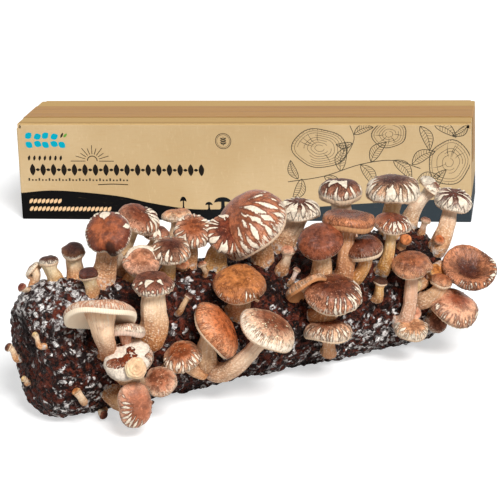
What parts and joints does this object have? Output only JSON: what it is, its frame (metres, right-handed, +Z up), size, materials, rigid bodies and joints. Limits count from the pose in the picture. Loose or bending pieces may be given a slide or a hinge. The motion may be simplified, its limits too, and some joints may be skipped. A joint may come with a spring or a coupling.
{
  "type": "shiitake mushroom grow kit",
  "caption": "Sawdust substrate log covered in growing shiitake mushrooms, lying in front of its taped kraft cardboard carton.",
  "frame": {"origin": "middle of the carton's underside, where it rests", "axes": "+X along the carton, +Z up; the log lies on the -Y side, turned about 36 degrees"},
  "size_m": [0.4834, 0.707, 0.1518],
  "materials": {
    "kraft_board": "matte",
    "kraft_tape": "satin",
    "sawdust_log": "rough, damp",
    "mushroom_red_brown": "matte",
    "mushroom_orange_brown": "matte",
    "mushroom_dark_brown": "matte",
    "mushroom_pale": "matte"
  },
  "bodies": {
    "root": {"carton": "kraft_board", "sealing_tape": "kraft_tape", "substrate_log": "sawdust_log", "pin_01": "mushroom_red_brown", "pin_02": "mushroom_dark_brown", "pin_03": "mushroom_orange_brown", "pin_04": "mushroom_dark_brown", "pin_05": "mushroom_red_brown", "pin_06": "mushroom_red_brown", "pin_07": "mushroom_orange_brown", "pin_08": "mushroom_red_brown", "pin_09": "mushroom_dark_brown", "pin_10": "mushroom_orange_brown", "pin_11": "mushroom_red_brown", "pin_12": "mushroom_orange_brown", "shiitake_01": "mushroom_pale", "shiitake_02": "mushroom_dark_brown", "shiitake_03": "mushroom_dark_brown", "shiitake_04": "mushroom_dark_brown", "shiitake_05": "mushroom_red_brown", "shiitake_06": "mushroom_pale", "shiitake_07": "mushroom_red_brown", "shiitake_08": "mushroom_red_brown", "shiitake_09": "mushroom_red_brown", "shiitake_10": "mushroom_pale", "shiitake_11": "mushroom_red_brown", "shiitake_12": "mushroom_pale", "shiitake_13": "mushroom_pale", "shiitake_14": "mushroom_red_brown", "shiitake_15": "mushroom_pale", "shiitake_16": "mushroom_red_brown", "shiitake_17": "mushroom_red_brown", "shiitake_18": "mushroom_red_brown", "shiitake_19": "mushroom_orange_brown", "shiitake_20": "mushroom_orange_brown", "shiitake_21": "mushroom_orange_brown", "shiitake_22": "mushroom_red_brown", "shiitake_23": "mushroom_orange_brown", "shiitake_24": "mushroom_red_brown", "shiitake_25": "mushroom_red_brown", "shiitake_26": "mushroom_pale", "shiitake_27": "mushroom_red_brown", "shiitake_28": "mushroom_orange_brown", "shiitake_29": "mushroom_dark_brown", "shiitake_30": "mushroom_red_brown", "shiitake_31": "mushroom_red_brown", "shiitake_32": "mushroom_red_brown", "shiitake_33": "mushroom_pale", "shiitake_34": "mushroom_pale", "shiitake_35": "mushroom_orange_brown", "shiitake_36": "mushroom_red_brown", "shiitake_37": "mushroom_red_brown", "shiitake_38": "mushroom_orange_brown", "shiitake_39": "mushroom_pale", "shiitake_40": "mushroom_dark_brown", "shiitake_41": "mushroom_red_brown", "shiitake_42": "mushroom_orange_brown", "shiitake_43": "mushroom_orange_brown"}
  },
  "joints": []
}
